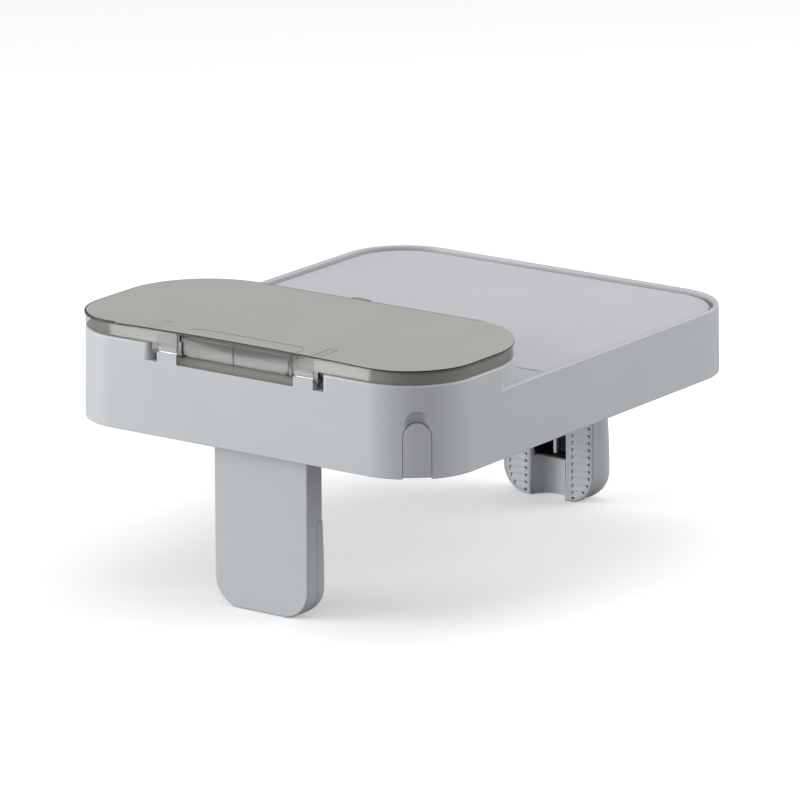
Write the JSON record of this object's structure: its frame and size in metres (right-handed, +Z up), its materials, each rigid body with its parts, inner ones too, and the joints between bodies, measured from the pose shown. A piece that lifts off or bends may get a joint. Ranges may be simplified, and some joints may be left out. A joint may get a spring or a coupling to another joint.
{
  "type": "hot tub tray",
  "caption": "Moulded tray with a hinged-lid dry box and serving mat, clamped over a spa wall by a fixed leg and a sliding jaw, with a flip-out bag hook.",
  "frame": {"origin": "middle of the underside of the base cover, the face that rests on the top of the spa wall", "axes": "+Z up, -Y towards the dry box and the fixed leg, outside the tub; +Y towards the sliding jaw, in the water; +X towards the corner with the bag hook"},
  "size_m": [0.28, 0.3545, 0.1741],
  "materials": {
    "body_plastic": "light grey, fine satin moulding",
    "mat": "lilac-grey, soft matt",
    "lid_plastic": "smoke clear, frosted on top, clear at the skirt",
    "grip_rubber": "light grey, matt",
    "seal_rubber": "grey silicone",
    "steel": "plain stainless",
    "dark_plastic": "dark grey moulding"
  },
  "bodies": {
    "tray": {"tray_body": "body_plastic", "tray_mat": "mat", "base_cover": "body_plastic", "base_screw_1": "steel", "base_screw_2": "steel", "base_screw_3": "steel", "base_screw_4": "steel", "base_screw_5": "steel", "base_screw_6": "steel", "guide_rail_left": "dark_plastic", "guide_rail_right": "dark_plastic", "rail_screw_1": "steel", "rail_screw_2": "steel", "rail_screw_3": "steel", "rail_screw_4": "steel", "leg_shell": "body_plastic", "leg_face": "body_plastic", "leg_pad_left": "grip_rubber", "leg_pad_right": "grip_rubber", "leg_screw_1": "steel", "leg_screw_2": "steel", "hinge_pin_left": "steel", "hinge_pin_right": "steel", "hook_pin": "steel"},
    "lid": {"box_lid": "lid_plastic", "lid_seal": "seal_rubber"},
    "jaw": {"jaw_carriage": "dark_plastic", "jaw_shell": "body_plastic", "jaw_face": "body_plastic", "jaw_pad_left": "grip_rubber", "jaw_pad_right": "grip_rubber", "jaw_liner": "dark_plastic", "jaw_screw_1": "steel", "jaw_screw_2": "steel", "lever_pin": "steel"},
    "release": {"release_lever": "body_plastic", "brake_pad": "grip_rubber"},
    "hook": {"bag_hook": "body_plastic"}
  },
  "joints": [
    {"name": "lid_hinge", "type": "hinge", "parent": "tray", "child": "lid", "pos_m": [-0.0052, -0.17168, 0.0534], "axis": [1, 0, 0], "range_deg": [0, 105]},
    {"name": "jaw_slide", "type": "slide", "parent": "tray", "child": "jaw", "axis": [0, -1, 0], "range_m": [0, 0.14]},
    {"name": "release_pivot", "type": "hinge", "parent": "jaw", "child": "release", "pos_m": [0, 0.1637, -0.009], "axis": [1, 0, 0], "range_deg": [0, 3.5]},
    {"name": "hook_hinge", "type": "hinge", "parent": "tray", "child": "hook", "pos_m": [0.1219, -0.16225, 0.0028], "axis": [0.766, 0.6428, 0], "range_deg": [0, 60]}
  ]
}
